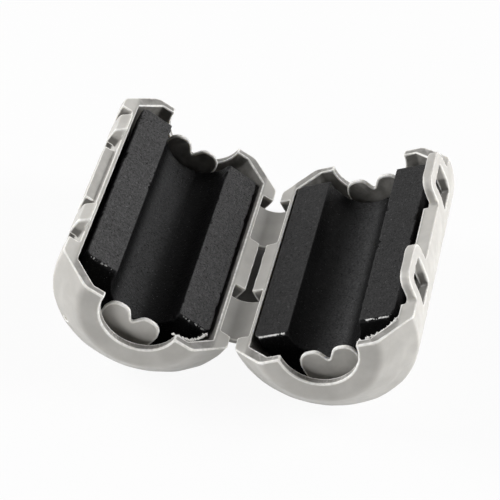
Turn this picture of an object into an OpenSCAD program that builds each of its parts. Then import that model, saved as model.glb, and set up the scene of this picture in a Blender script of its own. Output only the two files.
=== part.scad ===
// Open clip-on ferrite bead: two half-round plastic shells on a moulded strap
// hinge, each with half a ferrite ring, two latch loops on one shell and two
// wedge catches on the other. It stands open on its two round backs.
// Millimetres, +Z up, +Y along the cable, hinge axis over the origin.

/* [Ferrite core] */
// outside diameter of the ring that the two half cores make
core_d = 17.6; // [16:0.2:20]
// bore of that ring, where the cable runs
bore_d = 8.9; // [8:0.1:10]
// length of each half core
core_len = 30; // [28:0.5:34]
// bevel around the outer edge of each end of a core
end_bevel = 0.7; // [0.5:0.1:0.9]
// bevel along the end edges of a core's mating faces
face_bevel = 0.3; // [0.2:0.1:0.5]

/* [Core seating] */
// how far the core in the catch shell has slid along the shell
catch_core_slide = 1; // [-1:0.1:1]
// how far that core has sunk below the mating face
catch_core_drop = 0.4; // [0:0.05:0.4]
// sideways shift of that core, toward the hinge
catch_core_side = 0.1; // [-0.2:0.05:0.2]
// turn of that core about the cable, in degrees, hinge side down
catch_core_turn = 2.9; // [0:0.1:3]
// how far the core in the loop shell has slid along the shell
loop_core_slide = 0.8; // [-1:0.1:1]
// how far that core has sunk below the mating face
loop_core_drop = 0.1; // [0:0.05:0.3]
// sideways shift of that core, toward the hinge
loop_core_side = 0.25; // [-0.3:0.05:0.3]
// turn of that core about the cable, in degrees, hinge side down
loop_core_turn = -1.4; // [-1.5:0.1:3]

/* [Shell] */
// clearance between a core and its shell
core_gap = 0.6; // [0.5:0.05:0.7]
// thickness of the shell's round wall
wall = 2; // [1.9:0.1:2.6]
// how far the shell reaches past the core at each end
end_room = 4; // [3.8:0.1:5]
// thickness of the flat end walls
end_wall = 1; // [0.8:0.1:1.4]
// diameter of the flat part of an end
face_d = 14.8; // [14:0.1:15.6]
// length of the cone between an end's flat and the round wall
cone_len = 3.6; // [3:0.1:4.2]
// width of the flat shoulder that is left inside the end cone
cone_wall = 0.95; // [0.8:0.05:1.2]
// radius that softens the edge of an end's flat
face_soft = 1.6; // [0.6:0.1:2]
// radius that softens the edge between the round wall and an end cone
rim_soft = 0.9; // [0.4:0.1:1.4]
// diameter of the round cable opening in the ends
cable_d = 9.6; // [8.4:0.2:10.4]

/* [Opening] */
// angle between the two mating faces, with 180 for flat open
open_angle = 126; // [90:1:150]
// gap between the two rims at the hinge, when laid flat open
rim_slot = 0.8; // [0.7:0.1:1.6]

/* [Strap hinge] */
// length of each notch in the rims that a strap lies in
notch_len = 8.7; // [7.6:0.1:9]
// distance from the end of the round wall to a notch
notch_inset = 2.1; // [1.6:0.1:2.6]
// depth of the notches below the mating face
notch_depth = 2.4; // [2:0.1:3]
// thickness of the thin inner wall that is left in a notch or recess
thin_wall = 0.55; // [0.4:0.05:0.6]
// width of each strap
strap_w = 7.2; // [6:0.2:8]
// clearance between a strap and the near end of its notch
strap_play = 0.05; // [0.05:0.05:0.5]
// thickness of each strap
strap_t = 0.6; // [0.4:0.1:0.8]
// depth of a strap's top below the mating face, where it joins the shell
strap_drop = 0.55; // [0.5:0.05:1.2]
// sag of a strap between its two ends
strap_sag = 0.7; // [0.5:0.1:1]

/* [Latches] */
// length of each latch loop at its foot
loop_len = 7.6; // [7.4:0.1:8.2]
// how much narrower a loop is at its shoulders, on each side
loop_taper = 0.15; // [0:0.05:0.6]
// height of a loop above the mating face
loop_h = 3.3; // [3:0.1:4]
// height of the cross bar that closes a loop
bar_h = 1.45; // [1.2:0.05:1.7]
// thickness of a loop
loop_t = 1.3; // [1:0.05:1.4]
// length of the window in a loop
window_len = 3.9; // [3.4:0.1:4.4]
// depth of the window below the mating face
window_depth = 2.3; // [2:0.1:2.6]
// corner radius at a loop's shoulders
loop_r = 1.6; // [1:0.1:2]
// corner radius at the top of the window
window_r = 0.4; // [0.2:0.1:0.8]
// distance from the end of the round wall to a recess
latch_inset = 2.2; // [1.8:0.1:2.8]
// shift of both latches along the shell
latch_shift = 0.5; // [-0.8:0.1:0.8]
// clearance on each side of a loop in its recess
loop_play = 0.25; // [0.1:0.05:0.3]
// clearance between a cross bar and the wedge that holds it
catch_play = 0.1; // [0.05:0.05:0.2]
// clearance between a wedge and each side of the window
wedge_play = 0.2; // [0.1:0.05:0.6]
// height of a wedge above the mating face
wedge_top = 1.7; // [1.2:0.1:1.8]
// width of the flat on top of a wedge
wedge_flat = 0.3; // [0.2:0.05:0.5]
// fall of a wedge's ramp from that flat to its outer face
wedge_fall = 1.1; // [0.8:0.1:1.6]
// depth of the relief inside the rim behind each loop
relief_depth = 2.5; // [2:0.1:2.8]
// step down of the outer rim between the two catches
rim_step = 0.4; // [0.2:0.1:0.6]

/* [Cable tongues] */
// thickness of each tongue
tongue_t = 0.5; // [0.4:0.1:0.8]
// width of a tongue across its lobes
tongue_w = 7.4; // [6.8:0.1:8]
// depth of the top of a tongue below the mating face
tongue_drop = 1.4; // [1.2:0.1:2]
// depth of the notch between the two lobes
tongue_notch = 1.5; // [1.2:0.1:2]
// width of that notch at its mouth
tongue_mouth = 2; // [1.6:0.1:2.6]
// radius that rounds each lobe beside the notch
lobe_r = 1.2; // [0.7:0.1:1.3]
// radius that rounds the outer corners of a tongue
tongue_r = 1.5; // [1:0.1:1.6]
// width that a tongue loses on each side from its lobes to its top
tongue_lean = 0.4; // [0.2:0.1:0.6]
// width that a tongue loses on each side from its lobes to its foot
tongue_waist = 0.6; // [0.3:0.1:0.8]
// depth of a tongue's widest part below its top
lobe_depth = 1.8; // [1.5:0.1:2.2]
// distance from a centred core's end to a tongue
tongue_gap = 1.4; // [1.2:0.1:1.6]

/* [Hidden] */
$fn = 96;
cut = 0.5;
core_r = core_d / 2;
bore_r = bore_d / 2;
cav_r = core_r + core_gap;
shell_r = cav_r + wall;
face_r = face_d / 2;
cable_r = cable_d / 2;
shell_len = core_len + 2 * end_room;
half_len = shell_len / 2;
straight = half_len - cone_len;
tilt = (180 - open_angle) / 2;
hinge_u = shell_r + rim_slot / 2;
axis_x = hinge_u * cos(tilt);
axis_z = shell_r;
hinge_z = axis_z - hinge_u * sin(tilt);
thin_u = cav_r + thin_wall;
notch_v = straight - notch_inset - notch_len / 2;
strap_shift = strap_play + (strap_w - notch_len) / 2;
recess_len = loop_len + 2 * loop_play;
latch_v = straight - latch_inset - recess_len / 2;
latch_at = [latch_v + latch_shift, latch_shift - latch_v];
window_h = loop_h - bar_h;
recess_depth = loop_h + loop_play + catch_play;
wedge_low = window_h - catch_play;
wedge_u = shell_r - catch_play;
tongue_v = core_len / 2 + tongue_gap + tongue_t / 2;
in_r = face_r - cone_wall;
in_len = half_len - end_wall;
floor_r = cav_r - (tongue_v - straight) * (cav_r - in_r) / (in_len - straight);
plastic = [0.78, 0.77, 0.74];
ferrite = [0.22, 0.22, 0.23];

// points of an arc of radius r that rounds the corner b of the path a, b, c
function rounded(a, b, c, r, n = 4) =
    let (p = (a - b) / norm(a - b), q = (c - b) / norm(c - b))
    let (half = acos(p * q) / 2, mid = (p + q) / norm(p + q))
    let (o = b + mid * r / sin(half), s = b + p * r / tan(half))
    let (d = s - o, turn = 180 - 2 * half, sgn = sign(cross(s - o, b - o)))
    [for (i = [0 : n])
        let (k = sgn * turn * i / n)
        o + [d[0] * cos(k) - d[1] * sin(k), d[0] * sin(k) + d[1] * cos(k)]];

// one half lies with its mating face at z = 0, its bore along y and its hinge
// on the side of +x; these two set the halves down on their round backs
module catch_side() {
    translate([-axis_x, 0, axis_z])
        rotate([0, tilt, 0])
            children();
}

module loop_side() {
    mirror([1, 0, 0])
        catch_side()
            children();
}

// lower half of a body of revolution about y, from points [radius, y]
module half_turn(points) {
    rotate([-90, 0, 0])
        rotate_extrude(angle = 180)
            polygon(points);
}

module outer_form() {
    rim = [shell_r, straight];
    face = [face_r, half_len];
    top = concat(
        rounded([shell_r, 0], rim, face, rim_soft),
        rounded(rim, face, [0, half_len], face_soft));
    low = [for (i = [len(top) - 1 : -1 : 0]) [top[i][0], -top[i][1]]];
    half_turn(concat([[0, half_len], [0, -half_len]], low, top));
}

module cavity_form() {
    top = [[cav_r, straight], [in_r, in_len], [0, in_len]];
    low = [[0, -in_len], [in_r, -in_len], [cav_r, -straight]];
    half_turn(concat(low, top));
}

// heart-shaped tongue that grips the cable, standing on the floor of an end
module tongue() {
    w = tongue_w / 2;
    top = -tongue_drop;
    dip = [tongue_t / 4, top - tongue_notch];
    mouth = [tongue_mouth / 2, top];
    corner = [w - tongue_lean, top];
    lobe = [w, top - lobe_depth];
    foot = [w - tongue_waist, -(floor_r + wall / 4)];
    side = concat(
        [dip],
        rounded(dip, mouth, corner, lobe_r, 6),
        rounded(mouth, corner, lobe, tongue_r, 8),
        rounded(corner, lobe, foot, 1, 6),
        [foot]);
    other = [for (i = [len(side) - 1 : -1 : 0]) [-side[i][0], side[i][1]]];
    translate([0, tongue_t / 2, 0])
        rotate([90, 0, 0])
            linear_extrude(tongue_t)
                polygon(concat(side, other));
}

// what both shells share: round wall, cone ends, cable openings, tongues
// and the notches for the straps
module plain_shell() {
    difference() {
        outer_form();
        cavity_form();
        rotate([90, 0, 0])
            cylinder(r = cable_r, h = shell_len + 2 * cut, center = true);
        for (s = [-1, 1])
            translate([thin_u, s * notch_v - notch_len / 2, -notch_depth])
                cube([wall + cut, notch_len, notch_depth + cut]);
    }
    for (s = [-1, 1])
        translate([0, s * tongue_v, 0])
            tongue();
}

// recess in the outer wall that takes a closed loop
module recess() {
    translate([-shell_r - cut, -recess_len / 2, -recess_depth])
        cube([shell_r + cut - thin_u, recess_len, recess_depth + cut]);
}

// wedge that stands above the mating face; its ramp spreads a loop and its
// underside holds the loop's cross bar
module wedge() {
    wedge_len = window_len - 2 * wedge_play;
    root = thin_u - thin_wall / 2;
    translate([0, wedge_len / 2, 0])
        rotate([90, 0, 0])
            linear_extrude(wedge_len)
                polygon([[-root, 0], [-thin_u, 0], [-thin_u, wedge_top],
                         [-thin_u - wedge_flat, wedge_top],
                         [-wedge_u, wedge_top - wedge_fall],
                         [-wedge_u, -wedge_low], [-root, -wedge_low]]);
}

// springy latch loop, a flat frame that stands up from the outer wall
module loop_plate() {
    foot = loop_len / 2;
    head = foot - loop_taper;
    right = concat([[foot, 0]], rounded([foot, 0], [head, loop_h], [0, loop_h], loop_r, 8));
    left = [for (i = [len(right) - 1 : -1 : 0]) [-right[i][0], right[i][1]]];
    translate([-shell_r, 0, 0])
        rotate([90, 0, 90])
            linear_extrude(loop_t)
                polygon(concat(right, left));
}

// window through a loop and through the wall below it
module window() {
    side = window_len / 2;
    right = concat(
        [[side, -window_depth]],
        rounded([side, 0], [side, window_h], [0, window_h], window_r));
    left = [for (i = [len(right) - 1 : -1 : 0]) [-right[i][0], right[i][1]]];
    translate([-shell_r - cut, 0, 0])
        rotate([90, 0, 90])
            linear_extrude(wall + 2 * cut)
                polygon(concat(right, left));
}

module shell_with_catches() {
    color(plastic)
        catch_side() {
            difference() {
                plain_shell();
                for (v = latch_at)
                    translate([0, v, 0])
                        recess();
                translate([-shell_r - cut, latch_at[1], -rim_step])
                    cube([shell_r + cut - thin_u, latch_at[0] - latch_at[1], rim_step + cut]);
            }
            for (v = latch_at)
                translate([0, v, 0])
                    wedge();
        }
}

module shell_with_loops() {
    color(plastic)
        loop_side()
            difference() {
                union() {
                    difference() {
                        plain_shell();
                        for (v = latch_at)
                            translate([-thin_u, v - recess_len / 2, -relief_depth])
                                cube([thin_wall + cut, recess_len, relief_depth + cut]);
                    }
                    for (v = latch_at)
                        translate([0, v, 0])
                            loop_plate();
                }
                for (v = latch_at)
                    translate([0, v, 0])
                        window();
            }
}

// half ring of ferrite with bevelled edges at its ends
module half_core() {
    h = core_len / 2;
    b = end_bevel;
    f = face_bevel * sqrt(2);
    difference() {
        half_turn([[bore_r, -h], [core_r - b, -h], [core_r, b - h],
                   [core_r, h - b], [core_r - b, h], [bore_r, h]]);
        for (s = [-1, 1])
            translate([0, s * h, 0])
                rotate([45, 0, 0])
                    cube([core_d + cut, f, f], center = true);
    }
}

module core_in_catch_shell() {
    color(ferrite)
        catch_side()
            translate([catch_core_side, catch_core_slide, -catch_core_drop])
                rotate([0, catch_core_turn, 0])
                    half_core();
}

module core_in_loop_shell() {
    color(ferrite)
        loop_side()
            translate([loop_core_side, loop_core_slide, -loop_core_drop])
                rotate([0, loop_core_turn, 0])
                    half_core();
}

// thin curved strap between the two rims, bent about the hinge axis
module strap() {
    wall_gap = hinge_u - thin_u;
    mid_drop = strap_drop + strap_t / 2;
    end_x = wall_gap * cos(tilt) + mid_drop * sin(tilt);
    end_z = wall_gap * sin(tilt) - mid_drop * cos(tilt);
    bend_r = (end_x * end_x + strap_sag * strap_sag) / (2 * strap_sag);
    reach = mid_drop + 2 * strap_sag + strap_t;
    corner = [wall_gap * cos(tilt), wall_gap * sin(tilt)];
    deep = corner + reach * [sin(tilt), -cos(tilt)];
    intersection() {
        translate([0, strap_w / 2, hinge_z + end_z - strap_sag + bend_r])
            rotate([90, 0, 0])
                difference() {
                    cylinder(r = bend_r + strap_t / 2, h = strap_w);
                    translate([0, 0, -cut])
                        cylinder(r = bend_r - strap_t / 2, h = strap_w + 2 * cut);
                }
        translate([0, strap_w / 2 + cut, hinge_z])
            rotate([90, 0, 0])
                linear_extrude(strap_w + 2 * cut)
                    polygon([corner, deep, [-deep[0], deep[1]], [-corner[0], corner[1]]]);
    }
}

module hinge_strap_far() {
    color(plastic)
        translate([0, notch_v + strap_shift, 0])
            strap();
}

module hinge_strap_near() {
    color(plastic)
        translate([0, strap_shift - notch_v, 0])
            strap();
}

shell_with_catches();
shell_with_loops();
core_in_catch_shell();
core_in_loop_shell();
hinge_strap_far();
hinge_strap_near();
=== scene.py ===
import math

import bmesh
import bpy
import numpy as np
from mathutils import Matrix, Vector


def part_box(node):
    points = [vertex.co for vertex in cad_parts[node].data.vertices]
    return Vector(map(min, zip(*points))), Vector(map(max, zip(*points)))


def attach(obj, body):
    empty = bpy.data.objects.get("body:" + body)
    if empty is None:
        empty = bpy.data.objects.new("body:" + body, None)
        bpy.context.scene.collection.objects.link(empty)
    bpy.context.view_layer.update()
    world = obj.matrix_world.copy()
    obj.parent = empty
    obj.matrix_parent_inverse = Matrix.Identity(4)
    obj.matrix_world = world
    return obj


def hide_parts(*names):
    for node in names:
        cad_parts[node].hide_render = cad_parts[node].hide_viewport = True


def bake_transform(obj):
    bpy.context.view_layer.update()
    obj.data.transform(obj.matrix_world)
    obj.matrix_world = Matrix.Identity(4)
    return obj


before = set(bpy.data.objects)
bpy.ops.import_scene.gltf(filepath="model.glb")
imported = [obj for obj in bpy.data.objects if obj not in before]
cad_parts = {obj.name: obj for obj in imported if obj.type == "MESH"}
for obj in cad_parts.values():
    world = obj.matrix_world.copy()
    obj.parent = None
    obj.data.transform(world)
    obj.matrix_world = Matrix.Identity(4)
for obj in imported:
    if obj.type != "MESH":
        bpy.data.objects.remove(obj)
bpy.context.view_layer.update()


# ---------------------------------------------------------------------------
# The two half shells: one injection moulding in satin, light warm grey nylon.
# Every edge has the small radius that a mould leaves and a painted highlight,
# the walls are faintly wavy where they shrank, painted shade darkens the
# hollows, notches, recesses and tongues, and ferrite dust with painted shade
# darkens the inside.
# ---------------------------------------------------------------------------

NYLON_GREY = (0.540, 0.525, 0.495, 1)
NYLON_SHADE = (0.455, 0.442, 0.415, 1)
# the colour of the painted highlight along the rounded edges
NYLON_HIGHLIGHT = (0.940, 0.925, 0.890, 1)
# the colour of dark specks, and of the painted shade in hollows
NYLON_GRIME_AND_SHADE = (0.200, 0.192, 0.178, 1)
# the colour of ferrite dust in the cavity, which also carries painted shade there and in the notches,
# recesses and tongues
FERRITE_DUST_AND_SHADE = (0.150, 0.144, 0.134, 1)
SHELL_GRID = 0.11           # mm, the fineness at which the shells are softened
SHELL_PASSES = 4            # smoothing passes, which set the edge radius
LATCH_PASSES = 34           # further passes for the rounder latches
LATCH_SIDE = (9.9, 10.5)    # mm out from the middle, where the loops' side wall begins
LATCH_LENGTH = 14.6         # mm along the cable to either side, as far as that wall is softened
LATCH_STEPS = 8             # steps in which the further smoothing fades in
EDGE_SHARE = 0.06           # the share of the grid by which a full edge stands out
SHELL_RIPPLE = 0.06         # mm, the depth of the ripples in the walls
RIPPLE_REACH = 3.2          # mm, their length
RIPPLE_WAVES = 14           # waves that are added up to make them
RIPPLE_SPREAD = 10.6        # the spread of their sum that fills the range from 0 to 1
SHELL_SEED = 5
SHELL_TRIANGLES = 130000
PER_MM = 1000.0             # millimetres in a metre

SHELL_RADIUS = 11.4         # mm, outside of the round wall
CAVITY_RADIUS = 9.4         # mm, inside of the round wall
HINGE_REACH = 11.8          # mm, from the middle of a half to the hinge line
TILT = math.radians(27)     # how far each mating face leans in to the hinge
CATCH_SIDE, LOOP_SIDE = -1, 1


def in_half(points, side):
    """Points in mm in a half's own frame: u towards the hinge, v along the
    cable and w up from the mating face."""
    across = HINGE_REACH * math.cos(TILT) - side * points[:, 0]
    up = points[:, 2] - SHELL_RADIUS
    u = across * math.cos(TILT) - up * math.sin(TILT)
    w = across * math.sin(TILT) + up * math.cos(TILT)
    return np.stack([u, points[:, 1], w], -1)


def from_half(u, v, w, side):
    """The reverse: a place on a half, in metres in the part's frame."""
    across = u * math.cos(TILT) + w * math.sin(TILT) - HINGE_REACH * math.cos(TILT)
    up = SHELL_RADIUS - u * math.sin(TILT) + w * math.cos(TILT)
    return Vector((-side * across, v, up)) / PER_MM


def ramp(value, start, end):
    """0 up to start and 1 from end on, with a smooth rise between them."""
    share = np.clip((value - start) / (end - start), 0, 1)
    return share * share * (3 - 2 * share)


def ripple(points, reach, seed):
    """A smooth random field from 0 to 1, with waves about reach mm long."""
    dice = np.random.default_rng(seed)
    total = np.zeros(len(points))
    for _ in range(RIPPLE_WAVES):
        way = dice.normal(size=3)
        way *= 2 * math.pi / (reach * np.linalg.norm(way)) * dice.uniform(0.6, 1.7)
        total += np.sin(points @ way + dice.uniform(0, 2 * math.pi))
    return np.clip(0.5 + total / RIPPLE_SPREAD, 0, 1)


def merged_copy(node_name):
    """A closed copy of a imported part's mesh, enlarged to millimetres."""
    mesh = bpy.data.meshes.new(node_name + "_closed")
    solid = bmesh.new()
    solid.from_mesh(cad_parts[node_name].data)
    bmesh.ops.scale(solid, vec=(PER_MM, PER_MM, PER_MM), verts=solid.verts)
    bmesh.ops.remove_doubles(solid, verts=solid.verts, dist=0.002)
    solid.to_mesh(mesh)
    solid.free()
    return mesh


def settle(piece):
    """Turns a piece and its modifiers into a plain mesh."""
    bpy.context.view_layer.update()
    graph = bpy.context.evaluated_depsgraph_get()
    mesh = bpy.data.meshes.new_from_object(piece.evaluated_get(graph))
    piece.modifiers.clear()
    piece.vertex_groups.clear()
    piece.data = mesh
    return mesh


def rows_of(mesh, what):
    """The places (co) or the normals (normal) of a mesh's points, one in each row."""
    values = np.empty(len(mesh.vertices) * 3, np.float32)
    mesh.vertices.foreach_get(what, values)
    return values.reshape(-1, 3).astype(np.float64)


def move_to(mesh, points):
    mesh.vertices.foreach_set("co", points.astype(np.float32).ravel())
    mesh.update()


def mark(mesh, name, values):
    """Writes a value on each point, for the material to read by that name."""
    layer = mesh.attributes.get(name) or mesh.attributes.new(name, "FLOAT", "POINT")
    layer.data.foreach_set("value", np.asarray(values, np.float32))


def relief_of(mesh, passes, reach):
    """How far each point stands out of (+) or sinks into (-) the form that
    some passes of smoothing would leave, from -1 to 1."""
    points, normal = rows_of(mesh, "co"), rows_of(mesh, "normal")
    pairs = np.empty(len(mesh.edges) * 2, np.int32)
    mesh.edges.foreach_get("vertices", pairs)
    a, b = pairs.reshape(-1, 2).T
    count = np.bincount(pairs, minlength=len(points))

    def round_each(values):
        size = len(values)
        return (np.bincount(a, values[b], size) + np.bincount(b, values[a], size)) / count

    even = points.T.copy()
    for _ in range(passes):
        even = np.stack([0.5 * row + 0.5 * round_each(row) for row in even])
    bend = ((points - even.T) * normal).sum(1)
    for _ in range(3):
        bend = 0.5 * bend + 0.5 * round_each(bend)
    return np.clip(bend / reach, -1, 1)


def softened(node_name, piece_name, grid, passes, triangles, side, work, extra=0):
    """A copy of a part with its edges rounded, then worked on point by point."""
    piece = bpy.data.objects.new(piece_name, merged_copy(node_name))
    bpy.context.scene.collection.objects.link(piece)
    regrid = piece.modifiers.new("regrid", "REMESH")
    regrid.mode = "VOXEL"
    regrid.voxel_size = grid
    rub = piece.modifiers.new("rub", "SMOOTH")
    rub.factor = 0.5
    rub.iterations = passes
    mesh = settle(piece)
    if extra:
        here = in_half(rows_of(mesh, "co"), side)
        raised = ramp(here[:, 2], 0.05, 0.6)
        if side == LOOP_SIDE:
            loop_wall = ramp(-here[:, 0], *LATCH_SIDE) * ramp(LATCH_LENGTH - np.abs(here[:, 1]), 0, 0.8)
            raised = np.maximum(raised, loop_wall)
        latch = piece.vertex_groups.new(name="latch")
        for level in range(1, LATCH_STEPS + 1):
            within = (raised > (level - 1) / LATCH_STEPS) & (raised <= level / LATCH_STEPS)
            latch.add(np.nonzero(within)[0].tolist(), level / LATCH_STEPS, "REPLACE")
        soften = piece.modifiers.new("soften", "SMOOTH")
        soften.factor = 0.5
        soften.iterations = extra
        soften.vertex_group = "latch"
        mesh = settle(piece)
    mark(mesh, "edge", relief_of(mesh, 1, grid * EDGE_SHARE))
    work(mesh, side)
    thin = piece.modifiers.new("thin", "DECIMATE")
    thin.ratio = min(1.0, triangles / (2 * len(piece.data.polygons)))
    settle(piece)
    piece.data.transform(Matrix.Scale(1 / PER_MM, 4))
    piece.data.shade_smooth()
    return piece


NICK = (-6.15, -16.12, -8.6)    # the middle of a small knock, on the catch half
NICK_RADIUS = 0.55              # mm
NICK_DEPTH = 0.16               # mm
HOLLOW_PASSES = 26              # smoothing passes that fill a hollow
HOLLOW_DEPTH = 0.13             # mm, the depth of a hollow that gets the full painted shade
POCKET_SHADE = 1.5               # how much painted shade the hinge notches and catch recesses get
POCKET_ENDS = (14.4, 15.0)      # mm along the cable, where that painted shade fades out
TONGUE_SHADE = 0.42              # and the painted shade on the cable tongues of the loop half
TONGUE_REACH = 7.4              # mm from the middle of the bore, as far as a tongue goes
TONGUE_END = 17.6               # mm along the cable, as far as a tongue goes


def age_shell(mesh, side):
    """Ripples the walls, sinks the knock, and marks the hollows for painted
    shade, and the cavity, notches, recesses, tongues and knock for ferrite
    dust and painted shade.
    """
    points, normal = rows_of(mesh, "co"), rows_of(mesh, "normal")
    here = in_half(points, side)
    round_bore = np.hypot(here[:, 0], here[:, 2])
    depth = SHELL_RIPPLE * ripple(points, RIPPLE_REACH, SHELL_SEED + side)
    depth *= ramp(round_bore, CAVITY_RADIUS + 0.2, CAVITY_RADIUS + 0.8)
    points -= normal * depth[:, None]
    if side == CATCH_SIDE:
        away = np.linalg.norm(here - np.array(NICK), axis=1) / NICK_RADIUS
        points -= normal * (NICK_DEPTH * (1 - ramp(away, 0.2, 0.8)))[:, None]
        torn = ramp(away, 0.45, 0.7) * (1 - ramp(away, 0.8, 1.0))
        mark(mesh, "edge", np.maximum(relief_of(mesh, 1, SHELL_GRID * EDGE_SHARE), torn))
    move_to(mesh, points)
    # how sunk each point is: the hollows get painted shade
    mark(mesh, "hollow", -relief_of(mesh, HOLLOW_PASSES, HOLLOW_DEPTH))
    aside, along = np.abs(here[:, 0]), np.abs(here[:, 1])
    outward = in_half(points + normal, side) - in_half(points, side)
    from_axis = (outward[:, 0] * here[:, 0] + outward[:, 2] * here[:, 2]) / np.maximum(round_bore, 0.1)
    from_middle = outward[:, 1] * np.sign(here[:, 1])
    # Ferrite dust and painted shade inside the cavity; painted shade in the hinge notches, the catch
    # recesses and the loop half's tongues.
    dust_and_shade = 1 - ramp(round_bore, CAVITY_RADIUS - 0.05, CAVITY_RADIUS + 0.5)
    dust_and_shade *= (1 - ramp(from_axis, 0.0, 0.35)) * (1 - ramp(from_middle, 0.0, 0.35))
    pocket = ramp(-here[:, 2], 0.2, 0.8) * ramp(aside, CAVITY_RADIUS + 0.1, CAVITY_RADIUS + 0.4)
    pocket *= (1 - ramp(from_axis, 0.4, 0.75)) * (1 - ramp(along, *POCKET_ENDS))
    dust_and_shade = np.maximum(dust_and_shade, POCKET_SHADE * pocket)
    if side == LOOP_SIDE:
        tongue = ramp(TONGUE_REACH - round_bore, 0, 0.4) * ramp(TONGUE_END - along, 0, 0.3)
        dust_and_shade = np.maximum(dust_and_shade, TONGUE_SHADE * tongue)
    # The knock is darkened too.
    if side == CATCH_SIDE:
        dust_and_shade = np.maximum(dust_and_shade, 1 - ramp(away, 0.1, 0.5))
    mark(mesh, "dust_and_shade", dust_and_shade)


class Wiring:
    """Short ways to add nodes to a node tree and to join them."""

    prefix = ""

    def add(self, kind, settings=None, **inputs):
        made = self.tree.nodes.new(self.prefix + kind)
        for key, value in (settings or {}).items():
            setattr(made, key, value)
        for key, value in inputs.items():
            self.put(made.inputs[key.replace("_", " ")], value)
        return made

    def put(self, socket, value):
        if isinstance(value, bpy.types.NodeSocket):
            self.tree.links.new(value, socket)
        else:
            socket.default_value = value


class Nodes(Wiring):
    """The shader nodes of a material or a world."""

    prefix = "ShaderNode"

    def __init__(self, owner):
        owner.use_nodes = True
        self.owner = owner
        self.tree = owner.node_tree

    def place(self):
        return self.add("TexCoord").outputs["Object"]

    def cloud(self, size_mm, detail=3.0, rough=0.5):
        """Noise whose lumps are about size_mm across."""
        made = self.add(
            "TexNoise", Vector=self.place(), Scale=PER_MM / size_mm, Detail=detail, Roughness=rough)
        return made.outputs["Fac"]

    def strokes(self, size_mm, turn, length=7.0, detail=2.0):
        """Noise drawn out into dashes that run at an angle to the cable."""
        drawn = self.add(
            "Mapping", Vector=self.place(), Rotation=(0, 0, math.radians(turn)), Scale=(1, 1 / length, 1))
        made = self.add("TexNoise", Vector=drawn.outputs[0], Scale=PER_MM / size_mm, Detail=detail)
        return made.outputs["Fac"]

    def between(self, value, low, high, out_low=0.0, out_high=1.0):
        made = self.add(
            "MapRange", Value=value, From_Min=low, From_Max=high, To_Min=out_low, To_Max=out_high)
        return made.outputs["Result"]

    def sums(self, operation, first, second):
        made = self.add("Math", {"operation": operation})
        self.put(made.inputs[0], first)
        self.put(made.inputs[1], second)
        return made.outputs[0]

    def blend(self, factor, first, second):
        made = self.add("Mix", {"data_type": "RGBA"})
        self.put(made.inputs["Factor"], factor)
        self.put(made.inputs[6], first)
        self.put(made.inputs[7], second)
        return made.outputs[2]

    def mark(self, name):
        return self.add("Attribute", {"attribute_name": name}).outputs["Fac"]

    def bumps(self, height, distance_mm, strength=1.0, under=None):
        made = self.add("Bump", Height=height, Distance=distance_mm / PER_MM, Strength=strength)
        if under is not None:
            self.put(made.inputs["Normal"], under)
        return made.outputs["Normal"]

    def finish(self, **inputs):
        """Sets the surface, and hands back the finished material."""
        shader = self.tree.nodes["Principled BSDF"]
        for key, value in inputs.items():
            self.put(shader.inputs[key.replace("_", " ")], value)
        return self.owner


def nylon(name, body, shade, with_dust_and_shade=True):
    """Satin nylon: cloudy grey, with a painted highlight on the edges, painted
    shade in the hollows, dark specks and, where asked, ferrite dust with
    painted shade inside.
    """
    n = Nodes(bpy.data.materials.new(name))
    colour = n.blend(n.between(n.cloud(3.5, 4), 0.35, 0.65), shade, body)
    edge = n.mark("edge")
    patchy = n.between(n.cloud(0.5, 3), 0.3, 0.6, 0.6, 1.0)
    # painted shade in the hollows
    hollow_shade = n.sums("MULTIPLY", n.between(n.mark("hollow"), 0.12, 0.85, 0, 0.85), patchy)
    colour = n.blend(hollow_shade, colour, NYLON_GRIME_AND_SHADE)
    if with_dust_and_shade:
        # ferrite dust and painted shade
        dust_and_shade_patches = n.between(n.cloud(1.4, 4, 0.6), 0.3, 0.7, 0.55, 1.0)
        colour = n.blend(n.sums("MULTIPLY", n.mark("dust_and_shade"), dust_and_shade_patches), colour, FERRITE_DUST_AND_SHADE)
    # a painted highlight along the rounded edges
    painted_light = n.sums("MULTIPLY", n.between(edge, 0.12, 0.52, 0, 1.0), patchy)
    colour = n.blend(painted_light, colour, NYLON_HIGHLIGHT)
    specks = n.between(n.cloud(0.16, 2), 0.74, 0.80, 0, 0.4)
    colour = n.blend(specks, colour, NYLON_GRIME_AND_SHADE)
    waves = n.bumps(n.cloud(2.2, 2), 0.05, 0.6)
    flow = n.bumps(n.strokes(0.5, 8, 9), 0.012, 0.5, waves)
    grain = n.bumps(n.cloud(0.12, 3, 0.6), 0.008, 0.7, flow)
    return n.finish(
        Base_Color=colour,
        Roughness=n.between(n.cloud(0.9, 4), 0.3, 0.7, 0.36, 0.52),
        Normal=grain,
        Specular_IOR_Level=0.45,
        Subsurface_Weight=0.12,
        Subsurface_Radius=(0.0010, 0.0009, 0.0007),
        Subsurface_Scale=1.0,
    )


case_nylon = nylon("case_nylon", NYLON_GREY, NYLON_SHADE)

for node_name, piece_name, body, side in (
    ("shell_with_catches", "catch_shell", "catch_half", CATCH_SIDE),
    ("shell_with_loops", "loop_shell", "loop_half", LOOP_SIDE),
):
    shell = softened(
        node_name, piece_name, SHELL_GRID, SHELL_PASSES, SHELL_TRIANGLES, side, age_shell, LATCH_PASSES)
    shell.data.materials.clear()
    shell.data.materials.append(case_nylon)
    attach(shell, body)
    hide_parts(node_name)


# ---------------------------------------------------------------------------
# The two half cores: pressed and sintered ferrite, charcoal grey, with their
# mating faces ground. The edges are brittle and chipped, the skin is pitted.
# A pale band along each bore, a sheen on the ground faces and glints on the
# bevels of the near end are painted light.
# ---------------------------------------------------------------------------

FERRITE_SKIN = (0.0025, 0.0025, 0.0027, 1)
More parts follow.
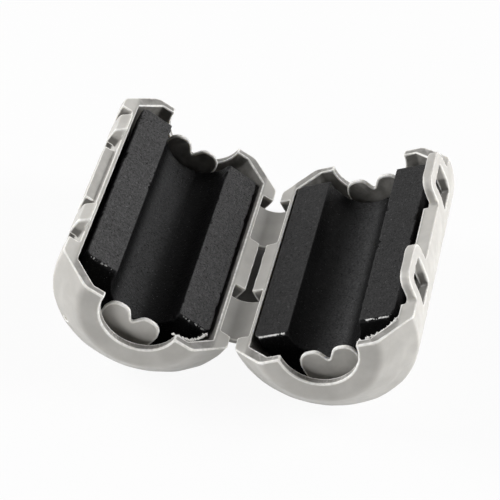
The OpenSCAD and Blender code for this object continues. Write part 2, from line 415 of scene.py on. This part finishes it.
# the colour of the painted lit band along the middle of each bore
FERRITE_LIT_BAND = (0.064, 0.064, 0.065, 1)
# the paler tone of the ground faces, which also carries a painted sheen
FERRITE_GROUND_AND_SHEEN = (0.150, 0.148, 0.149, 1)
FERRITE_SPECK = (0.160, 0.160, 0.164, 1)
FERRITE_PORE = (0.001, 0.001, 0.001, 1)
FERRITE_GLINT = (0.850, 0.845, 0.830, 1)
CORE_GRID = 0.11            # mm, the fineness at which the cores are softened
CORE_PASSES = 2             # smoothing passes, fewer than on the shells
CORE_TRIANGLES = 90000
CORE_CHIPS = 60             # flakes broken out of each core's edges
CHIP_SEED = 40
CHIP_EDGE = 0.6             # how sharp an edge is where it chips
CHIP_LEAST = 0.18           # mm, the radius of the smallest flake
CHIP_RANGE = 0.5            # mm by which the largest is larger
CHIP_DEPTH = (0.15, 0.3)    # shares of that radius, the least and the most
CHIP_LEAN = 0.28            # how far the flakes lean away from the edge's own slope
BORE_RADIUS = 4.45          # mm
CATCH_LIT_BAND, LOOP_LIT_BAND = -0.6, 1.0   # mm across each bore, the middle of the painted lit band
GLINT_IN = 0.28             # mm from the end face to the painted glint line on a bevel
GLINT_SIDES = (4.9, 5.2)    # mm out from the middle, where that line begins
CATCH_GLINT, LOOP_GLINT = 0.5, 1.0      # how whole that line is on each core
CATCH_GROUND_AND_SHEEN = (0.56, 0.65)           # how pale each outer and inner leg's ground face is, partly its grinding and partly a painted sheen
LOOP_GROUND_AND_SHEEN = (0.24, 0.24)
GROUND_LEVEL = (-2.2, -1.8)             # mm up from the rims; a flat higher than this is a ground face


def chip_edges(points, normal, edge, side):
    """Breaks small flat flakes out of the sharp edges; gives 1 where it did."""
    dice = np.random.default_rng(CHIP_SEED + side)
    sharp = np.nonzero(edge > CHIP_EDGE)[0]
    broken = np.zeros(len(points))
    for start in dice.choice(sharp, CORE_CHIPS, replace=False):
        radius = CHIP_LEAST + CHIP_RANGE * dice.uniform() ** 3
        depth = radius * dice.uniform(*CHIP_DEPTH)
        lean = normal[start] + dice.normal(0, CHIP_LEAN, 3)
        lean /= np.linalg.norm(lean)
        near = np.nonzero(np.linalg.norm(points - points[start], axis=1) < radius)[0]
        above = (points[near] - points[start]) @ lean + depth
        cut = near[above > 0]
        points[cut] -= np.outer(above[above > 0], lean)
        broken[cut] = 1
    return broken


def age_core(mesh, side):
    """Chips the edges, then marks the ground faces with their painted sheen, the
    painted lit band along the bore and the painted glint line on the bevels of
    the near end."""
    points, normal = rows_of(mesh, "co"), rows_of(mesh, "normal")
    broken = chip_edges(points, normal, relief_of(mesh, 1, CORE_GRID * EDGE_SHARE), side)
    move_to(mesh, points)
    mark(mesh, "edge", relief_of(mesh, 1, CORE_GRID * EDGE_SHARE))
    mark(mesh, "broken", broken)
    here = in_half(points, side)
    outward = in_half(points + normal, side) - here
    outer, inner = CATCH_GROUND_AND_SHEEN if side == CATCH_SIDE else LOOP_GROUND_AND_SHEEN
    lit_band_at = CATCH_LIT_BAND if side == CATCH_SIDE else LOOP_LIT_BAND
    # Ground faces: paler from grinding, and made paler leg by leg as a painted sheen.
    flat = ramp(outward[:, 2], 0.9, 0.97) * ramp(here[:, 2], *GROUND_LEVEL)
    mark(mesh, "ground_and_sheen", flat * np.where(here[:, 0] > 0, inner, outer))
    # A painted lit band along the middle of each bore.
    inside = 1 - ramp(np.hypot(here[:, 0], here[:, 2]), BORE_RADIUS + 0.2, BORE_RADIUS + 0.7)
    aside = np.abs(here[:, 0] - lit_band_at) / BORE_RADIUS
    mark(mesh, "painted_light", inside * (1 - ramp(aside, 0.25, 0.62)))
    # A painted glint line along the bevels of the near end.
    near_end = outward[:, 1] < -0.97
    slope, at_middle = np.polyfit(here[near_end, 0], here[near_end, 1], 1)
    from_end = here[:, 1] - at_middle - slope * here[:, 0]
    painted_glint = 1 - ramp(np.abs(from_end - GLINT_IN), 0.12, 0.24)
    painted_glint *= ramp(outward[:, 2], 0.45, 0.6) * ramp(-outward[:, 1], 0.45, 0.6)
    painted_glint *= ramp(np.abs(here[:, 0]), *GLINT_SIDES)
    mark(mesh, "painted_glint", painted_glint * (CATCH_GLINT if side == CATCH_SIDE else LOOP_GLINT))


def ferrite(name):
    """Sintered ferrite: mottled charcoal with fine pits, pale specks and the
    dashes left by the grinding wheel, with a painted sheen on the ground faces,
    a painted lit band along the bore and painted glints on the near bevels."""
    n = Nodes(bpy.data.materials.new(name))
    mottle = n.between(n.cloud(1.2, 5, 0.6), 0.3, 0.7, 0.75, 1.0)
    grainy = n.between(n.cloud(0.26, 3, 0.7), 0.34, 0.64, 0.38, 1.0)
    shares = n.sums("MULTIPLY", mottle, grainy)
    # the painted lit band in the bore
    colour = n.blend(n.sums("MULTIPLY", n.mark("painted_light"), shares), FERRITE_SKIN, FERRITE_LIT_BAND)
    # the ground faces with their painted sheen
    colour = n.blend(n.sums("MULTIPLY", n.mark("ground_and_sheen"), shares), colour, FERRITE_GROUND_AND_SHEEN)
    dashes = n.between(n.strokes(0.24, 62, 3), 0.60, 0.70, 0, 0.55)
    colour = n.blend(n.sums("MULTIPLY", dashes, n.mark("ground_and_sheen")), colour, FERRITE_SPECK)
    pores = n.between(n.cloud(0.22, 3), 0.30, 0.40)
    colour = n.blend(pores, FERRITE_PORE, colour)
    specks = n.between(n.cloud(0.20, 1), 0.72, 0.77, 0, 0.9)
    colour = n.blend(specks, colour, FERRITE_SPECK)
    colour = n.blend(n.between(n.mark("edge"), 0.3, 0.9, 0, 0.12), colour, FERRITE_SPECK)
    # painted glints on the near bevels
    lifted = n.sums("ADD", n.cloud(0.30, 2), n.sums("MULTIPLY", n.mark("painted_glint"), 0.25))
    beads = n.between(lifted, 0.62, 0.70, 0, 0.95)
    colour = n.blend(n.sums("MULTIPLY", beads, n.mark("painted_glint")), colour, FERRITE_GLINT)
    lumps = n.bumps(n.cloud(0.6, 4, 0.6), 0.10, 0.8)
    pits = n.bumps(pores, 0.06, 1.0, lumps)
    grain = n.bumps(n.cloud(0.11, 3, 0.65), 0.03, 1.0, pits)
    rough = n.between(n.cloud(0.6, 4), 0.3, 0.7, 0.36, 0.56)
    rough = n.sums("ADD", rough, n.sums("MULTIPLY", n.mark("broken"), 0.2))
    return n.finish(Base_Color=colour, Roughness=rough, Normal=grain, Specular_IOR_Level=0.08)


sintered = ferrite("sintered_ferrite")

for node_name, piece_name, body, side in (
    ("core_in_catch_shell", "catch_core", "catch_half", CATCH_SIDE),
    ("core_in_loop_shell", "loop_core", "loop_half", LOOP_SIDE),
):
    core = softened(node_name, piece_name, CORE_GRID, CORE_PASSES, CORE_TRIANGLES, side, age_core)
    core.data.materials.clear()
    core.data.materials.append(sintered)
    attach(core, body)
    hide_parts(node_name)


# ---------------------------------------------------------------------------
# The two hinge straps: thin bands of the same nylon moulding, bent between the
# notches of the two rims. Their nylon is painted a darker grey than the walls, as
# painted shade for their thin, low place between the shells, and their long
# edges keep the small round of the mould.
# ---------------------------------------------------------------------------

STRAP_THICKNESS = 0.6   # mm
STRAP_ROUND = 0.16      # mm, the radius along a strap's edges
STRAP_ROOT = 0.25       # mm, the length of a strap that is sunk into each rim
STRAP_WAVE = 0.03       # mm, how uneven a strap's skin is
WAVE_REACH = 1.6        # mm, the length of that unevenness
STRAP_RELIEF = 0.01     # mm by which a full edge stands out
STRAP_STEPS = 72        # steps along the arc
# both strap greys: the walls' nylon painted darker, as painted shade
STRAP_SHADED_GREY = (0.350, 0.340, 0.320, 1)
STRAP_SHADE = (0.295, 0.286, 0.268, 1)


class Tree(Wiring):
    """A geometry node tree with named inputs."""

    def __init__(self, name):
        self.tree = bpy.data.node_groups.new(name, "GeometryNodeTree")
        self.tree.interface.new_socket("Geometry", in_out="OUTPUT", socket_type="NodeSocketGeometry")
        self.source = self.tree.nodes.new("NodeGroupInput")
        self.end = self.tree.nodes.new("NodeGroupOutput")
        self.sockets = {}

    def takes(self, name, kind):
        made = self.tree.interface.new_socket(name, in_out="INPUT", socket_type="NodeSocket" + kind)
        self.sockets[name] = made.identifier
        return self.source.outputs[name]

    def close(self, geometry, material):
        """Ends the tree, with everything made real and given its material."""
        whole = self.add("GeometryNodeRealizeInstances", Geometry=geometry)
        painted = self.add("GeometryNodeSetMaterial", Geometry=whole.outputs[0], Material=material)
        self.put(self.end.inputs[0], painted.outputs[0])

    def build(self, name, seed_mesh=None, **values):
        """A finished mesh object, grown by this tree with the given inputs."""
        piece = bpy.data.objects.new(name, seed_mesh or bpy.data.meshes.new(name + "_seed"))
        bpy.context.scene.collection.objects.link(piece)
        grow = piece.modifiers.new("grow", "NODES")
        grow.node_group = self.tree
        for key, value in values.items():
            grow[self.sockets[key.replace("_", " ")]] = value
        settle(piece)
        piece.data.shade_smooth()
        return piece


# a darker copy of the shells' nylon, as painted shade, without the dust
shaded_strap_nylon = nylon("shaded_strap_nylon", STRAP_SHADED_GREY, STRAP_SHADE, with_dust_and_shade=False)


def bent_strap():
    """The rule of a strap: a rounded flat band swept along an arc."""
    t = Tree("bent_strap")
    ends = [t.takes(name, "Vector") for name in ("Start", "Middle", "End")]
    width, thickness, edge_round, fineness = (
        t.takes(name, "Float") for name in ("Width", "Thickness", "Round", "Fineness"))
    wave, seed, steps = t.takes("Wave", "Float"), t.takes("Seed", "Float"), t.takes("Steps", "Int")
    arc = t.add(
        "GeometryNodeCurveArc", {"mode": "POINTS"},
        Start=ends[0], Middle=ends[1], End=ends[2], Resolution=steps)
    level = t.add("GeometryNodeSetCurveNormal", {"mode": "Z_UP"}, Curve=arc.outputs[0])
    section = t.add("GeometryNodeCurvePrimitiveQuadrilateral", Width=width, Height=thickness)
    soft = t.add(
        "GeometryNodeFilletCurve", {"mode": "POLY"}, Curve=section.outputs[0], Radius=edge_round, Count=4)
    fine = t.add("GeometryNodeResampleCurve", {"mode": "LENGTH"}, Curve=soft.outputs[0], Length=fineness)
    skin = t.add(
        "GeometryNodeCurveToMesh", Curve=level.outputs[0], Profile_Curve=fine.outputs[0], Fill_Caps=True)
    place = t.add("GeometryNodeInputPosition").outputs[0]
    cloud = t.add(
        "ShaderNodeTexNoise", {"noise_dimensions": "4D"},
        Vector=place, W=seed, Scale=PER_MM / WAVE_REACH, Detail=3.0)
    lift = t.add("ShaderNodeMath", {"operation": "MULTIPLY_ADD"})
    t.put(lift.inputs[0], cloud.outputs[0])
    t.put(lift.inputs[1], wave)
    t.put(lift.inputs[2], 0.0)
    along = t.add("ShaderNodeVectorMath", {"operation": "SCALE"})
    t.put(along.inputs[0], t.add("GeometryNodeInputNormal").outputs[0])
    t.put(along.inputs["Scale"], lift.outputs[0])
    wavy = t.add("GeometryNodeSetPosition", Geometry=skin.outputs[0], Offset=along.outputs[0])
    t.close(wavy.outputs[0], shaded_strap_nylon)
    return t


strap_rule = bent_strap()

straps = (("hinge_strap_far", "far_strap"), ("hinge_strap_near", "near_strap"))
half = STRAP_THICKNESS / 2 / PER_MM
root = STRAP_ROOT / PER_MM
for number, (node_name, piece_name) in enumerate(straps):
    low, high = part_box(node_name)
    reach = high.x - half * math.sin(TILT) + root
    top = high.z - half * math.cos(TILT) + root * math.tan(TILT)
    middle_y = (low.y + high.y) / 2
    strap = strap_rule.build(
        piece_name,
        Start=(-reach, middle_y, top), Middle=(0, middle_y, low.z + half), End=(reach, middle_y, top),
        Width=high.y - low.y, Thickness=STRAP_THICKNESS / PER_MM, Round=STRAP_ROUND / PER_MM,
        Fineness=STRAP_ROUND / 2 / PER_MM, Wave=STRAP_WAVE / PER_MM, Seed=float(number), Steps=STRAP_STEPS)
    # the strap edges get the painted highlight too
    mark(strap.data, "edge", relief_of(strap.data, 1, STRAP_RELIEF / PER_MM))
    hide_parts(node_name)
    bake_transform(strap)


# ---------------------------------------------------------------------------
# Flash on the near ends of the two rims: thin ragged nylon that squeezed out
# where the two mould plates met. It is part of the moulding, points in from
# the inner edge of each rim and stays under the mating face.
# ---------------------------------------------------------------------------

FLASH_WIDTH = 0.20          # mm, at the foot of a tooth
FLASH_HEIGHT = 0.48         # mm
FLASH_SPACING = 0.13        # mm between teeth
FLASH_KEPT = 0.72           # the share of the teeth that did not break off
FLASH_TIP = 0.00001         # m, so that a tooth ends in a point
FLASH_LEAN = ((-1.9, -0.2, -1.0), (-1.1, 0.2, 1.0))     # radians, the least and the most
FLASH_SIZES = ((0.6, 0.5, 0.4), (1.6, 1.1, 1.0))        # shares of a tooth's sizes, likewise
FLASH_HIGHLIGHT = 0.6            # how much painted edge highlight the thin teeth get
FLASH_SEED = 7
# Where the teeth stand on each rim's inner edge, in mm in the half's own frame.
CATCH_FLASH = ((4.55, -18.2), (5.6, -18.0), (6.7, -17.6), (7.7, -16.5), (8.4, -15.2))
LOOP_FLASH = ((-5.0, -18.0), (-6.4, -17.7), (-7.5, -17.2), (-8.7, -16.1), (-9.6, -14.6))
FLASH_SINK = 0.12           # mm that a tooth's foot is below the mating face
FLASH_ROOM = 0.04           # mm that every tooth keeps clear of the mating face


def ragged_flash():
    """The rule of the flash: leaning splinters along a line."""
    t = Tree("ragged_flash")
    line = t.takes("Line", "Geometry")
    width, height, spacing, kept = (
        t.takes(name, "Float") for name in ("Width", "Height", "Spacing", "Kept"))
    seed = t.takes("Seed", "Int")
    path = t.add("GeometryNodeMeshToCurve", Mesh=line)
    steps = t.add("GeometryNodeResampleCurve", {"mode": "LENGTH"}, Curve=path.outputs[0], Length=spacing)
    tooth = t.add(
        "GeometryNodeMeshCone", Vertices=5, Radius_Top=FLASH_TIP, Radius_Bottom=width, Depth=height)
    stays = t.add("FunctionNodeRandomValue", {"data_type": "BOOLEAN"})
    t.put(stays.inputs["Probability"], kept)
    t.put(stays.inputs["Seed"], seed)
    lean = t.add("FunctionNodeRandomValue", {"data_type": "FLOAT_VECTOR"})
    t.put(lean.inputs[0], FLASH_LEAN[0])
    t.put(lean.inputs[1], FLASH_LEAN[1])
    t.put(lean.inputs["Seed"], seed)
    size = t.add("FunctionNodeRandomValue", {"data_type": "FLOAT_VECTOR"})
    t.put(size.inputs[0], FLASH_SIZES[0])
    t.put(size.inputs[1], FLASH_SIZES[1])
    t.put(size.inputs["Seed"], seed)
    teeth = t.add(
        "GeometryNodeInstanceOnPoints", Points=steps.outputs[0], Selection=stays.outputs[3],
        Instance=tooth.outputs[0], Rotation=lean.outputs[0], Scale=size.outputs[0])
    t.close(teeth.outputs[0], case_nylon)
    return t


flash_rule = ragged_flash()

for piece_name, body, side, corners in (
    ("catch_flash", "catch_half", CATCH_SIDE, CATCH_FLASH),
    ("loop_flash", "loop_half", LOOP_SIDE, LOOP_FLASH),
):
    foot = [from_half(u, v, -FLASH_SINK, side) for u, v in corners]
    line_mesh = bpy.data.meshes.new(piece_name + "_line")
    line_mesh.from_pydata(foot, [(k, k + 1) for k in range(len(foot) - 1)], [])
    flash = flash_rule.build(
        piece_name, line_mesh, Width=FLASH_WIDTH / PER_MM, Height=FLASH_HEIGHT / PER_MM,
        Spacing=FLASH_SPACING / PER_MM, Kept=FLASH_KEPT, Seed=FLASH_SEED + side)
    splinters = rows_of(flash.data, "co") * PER_MM
    over = np.maximum(in_half(splinters, side)[:, 2] + FLASH_ROOM, 0)
    rise = np.array([-side * math.sin(TILT), 0, math.cos(TILT)])
    move_to(flash.data, (splinters - np.outer(over, rise)) / PER_MM)
    # the teeth get the painted edge highlight
    mark(flash.data, "edge", np.full(len(flash.data.vertices), FLASH_HIGHLIGHT))
    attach(flash, body)


# ---------------------------------------------------------------------------
# The stand: a white paper floor that keeps the part's shadow, with a deep soft
# shade under the hinge line, in a white room that lights almost nothing.
# ---------------------------------------------------------------------------

FLOOR_HALF = 1.5            # m
PAPER_WHITE = (0.75, 0.75, 0.75, 1)
PAPER_SHADE = (0.36, 0.36, 0.36, 1)
FLOOR_GLOW = 0.93           # how much of the floor's white is its own
SHADE_MIDDLE = 6.5          # mm along the hinge line, the middle of the deep shade
SHADE_REACH = (6.5, 12.0)   # mm, how far it reaches to the sides and to the ends
SHADE_FADE = (0.55, 1.1)    # and the part of that reach over which it fades
ROOM_LIGHT = 0.03           # strength of the room as a light

scene = bpy.context.scene
scene.view_settings.view_transform = "Standard"

floor_mesh = bpy.data.meshes.new("floor")
floor_corners = [(x * FLOOR_HALF, y * FLOOR_HALF, 0) for x, y in ((-1, -1), (1, -1), (1, 1), (-1, 1))]
floor_mesh.from_pydata(floor_corners, [], [(0, 1, 2, 3)])
floor = bpy.data.objects.new("floor", floor_mesh)
scene.collection.objects.link(floor)


def white_rays(nodes):
    """1 for the rays that see a background: direct, mirrored or refracted."""
    rays = nodes.add("LightPath")
    seen = nodes.sums("ADD", rays.outputs["Is Camera Ray"], rays.outputs["Is Glossy Ray"])
    return nodes.between(nodes.sums("ADD", seen, rays.outputs["Is Transmission Ray"]), 0, 1)


paper = Nodes(bpy.data.materials.new("white_paper"))
round_shade = paper.add(
    "Mapping", {"vector_type": "TEXTURE"}, Vector=paper.place(),
    Location=(0, SHADE_MIDDLE / PER_MM, 0), Scale=(SHADE_REACH[0] / PER_MM, SHADE_REACH[1] / PER_MM, 1))
away = paper.add("VectorMath", {"operation": "LENGTH"})
paper.put(away.inputs[0], round_shade.outputs[0])
open_floor = paper.between(away.outputs["Value"], *SHADE_FADE)
paper.finish(Base_Color=paper.blend(open_floor, PAPER_SHADE, PAPER_WHITE), Roughness=0.8)
glow = paper.add("Emission", Color=(1, 1, 1, 1), Strength=1.0)
own_white = paper.sums("MULTIPLY", open_floor, FLOOR_GLOW)
mixed = paper.add("MixShader", Fac=paper.sums("MULTIPLY", white_rays(paper), own_white))
paper.put(mixed.inputs[1], paper.tree.nodes["Principled BSDF"].outputs[0])
paper.put(mixed.inputs[2], glow.outputs[0])
paper.put(paper.tree.nodes["Material Output"].inputs["Surface"], mixed.outputs[0])
floor_mesh.materials.append(paper.owner)

world = bpy.data.worlds.new("studio")
scene.world = world
studio = Nodes(world)
room = studio.tree.nodes["Background"]
studio.put(room.inputs["Color"], (1, 1, 1, 1))
studio.put(room.inputs["Strength"], ROOM_LIGHT)
backdrop = studio.add("Background", Strength=1.0)
choose = studio.add("MixShader", Fac=white_rays(studio))
studio.put(choose.inputs[1], room.outputs[0])
studio.put(choose.inputs[2], backdrop.outputs[0])
studio.put(studio.tree.nodes["World Output"].inputs["Surface"], choose.outputs[0])


# ---------------------------------------------------------------------------
# The lamps: square softboxes round the part, most of them low at its two
# sides, so that each half round wall shades gently from edge to edge.
# ---------------------------------------------------------------------------

SOFTBOX_SIZE = 0.26         # m
SOFTBOX_DISTANCE = 0.6      # m
SOFTBOX_AIM = Vector((0, 0, 0.01))      # m, the middle of the part


def softbox(name, turn, rise, power):
    """An area lamp aimed at the part, from turn degrees round from the front
    towards the right and rise degrees above the floor."""
    lamp = bpy.data.lights.new(name, "AREA")
    lamp.shape = "SQUARE"
    lamp.size = SOFTBOX_SIZE
    lamp.energy = power
    holder = bpy.data.objects.new(name, lamp)
    turn, rise = math.radians(turn), math.radians(rise)
    direction = Vector((math.cos(rise) * math.sin(turn), -math.cos(rise) * math.cos(turn), math.sin(rise)))
    holder.location = direction * SOFTBOX_DISTANCE + SOFTBOX_AIM
    holder.rotation_mode = "QUATERNION"
    holder.rotation_quaternion = (-direction).to_track_quat("-Z", "Y")
    scene.collection.objects.link(holder)


softbox("right_low", 90, 8, 2.6)
softbox("right_high", 105, 30, 2.4)
softbox("back_right", 150, 30, 0.3)
softbox("back_left", 245, 22, 1.0)
softbox("left_high", 270, 30, 2.4)
softbox("left_low", 325, 8, 1.4)


# ---------------------------------------------------------------------------
# The camera: a long lens, a little to the right of straight in front, looking
# down into the open shells.
# ---------------------------------------------------------------------------

CAMERA_LENS = 175.84        # mm on the 36 mm wide sensor
CAMERA_TURN = 7.583         # degrees to the right of straight in front
CAMERA_RISE = 39.959        # degrees above the floor
CAMERA_ROLL = 5.841         # degrees, how far the camera is tipped
CAMERA_DISTANCE = 0.29825   # m
CAMERA_AIM = Vector((-0.000935, -0.000201, 0.008910))   # m
CAMERA_CLIP = (0.01, 20)    # m

camera = bpy.data.objects.new("camera", bpy.data.cameras.new("camera"))
camera.data.lens = CAMERA_LENS
camera.data.clip_start, camera.data.clip_end = CAMERA_CLIP
turn, rise = math.radians(CAMERA_TURN), math.radians(CAMERA_RISE)
back = Vector((math.sin(turn) * math.cos(rise), -math.cos(turn) * math.cos(rise), math.sin(rise)))
camera.location = CAMERA_AIM + back * CAMERA_DISTANCE
camera.rotation_mode = "QUATERNION"
level = (-back).to_track_quat("-Z", "Y")
roll = Matrix.Rotation(math.radians(CAMERA_ROLL), 3, back).to_quaternion()
camera.rotation_quaternion = roll @ level
scene.collection.objects.link(camera)
scene.camera = camera
